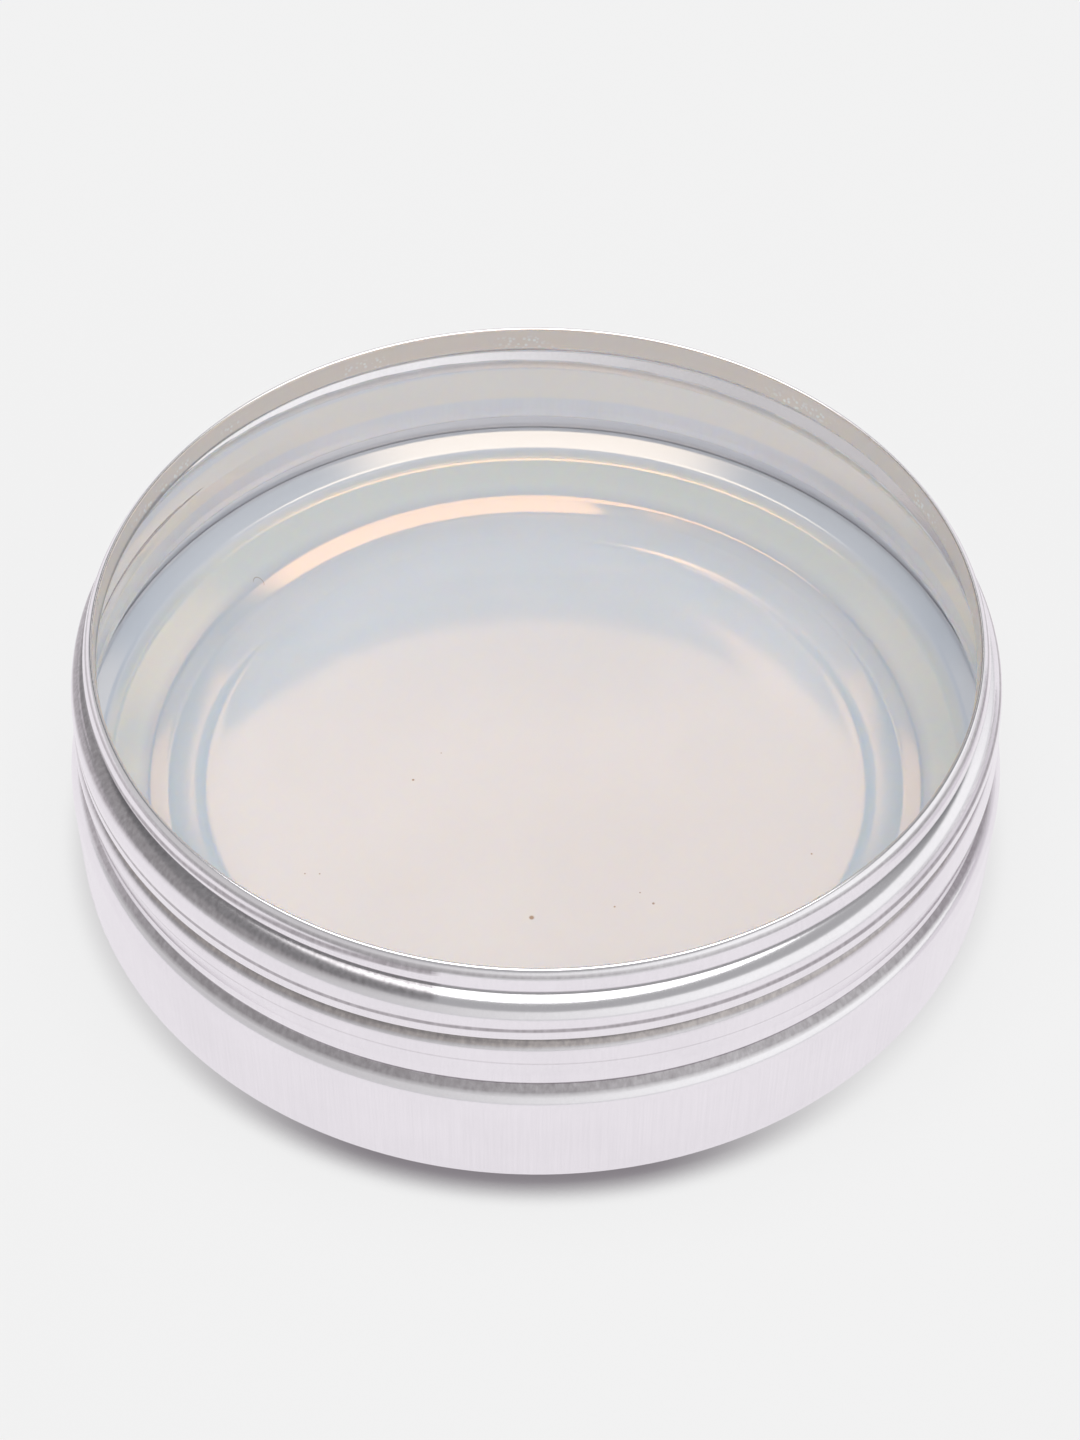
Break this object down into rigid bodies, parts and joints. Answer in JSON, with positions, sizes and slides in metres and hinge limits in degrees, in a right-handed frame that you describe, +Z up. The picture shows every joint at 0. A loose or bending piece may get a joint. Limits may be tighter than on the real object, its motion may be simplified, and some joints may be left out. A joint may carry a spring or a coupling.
{
  "type": "shoe polish tin",
  "caption": "Round aluminium screw-neck tin with a pale wax fill, standing open, with its screw lid and foam liner laid upside down beside it.",
  "frame": {"origin": "centre of the underside of the tin's base", "axes": "+Z up along the axis of the tin, +X towards the lid where it lies, the picture is taken from the -Y side"},
  "size_m": [0.198, 0.083, 0.025],
  "materials": {
    "tin_metal": "bare drawn sheet, satin with fine draw lines",
    "wax": "pale neutral wax with a soft gloss",
    "lid_metal": "bare drawn sheet, satin with fine draw lines",
    "liner_foam": "matt white closed-cell foam"
  },
  "bodies": {
    "tin": {"tin_body": "tin_metal", "wax_fill": "wax"},
    "lid": {"lid_shell": "lid_metal", "lid_liner": "liner_foam"}
  },
  "joints": [
    {"name": "lid_lift", "type": "slide", "parent": "tin", "child": "lid", "axis": [0, 0, 1], "range_m": [0, 0.1]}
  ]
}
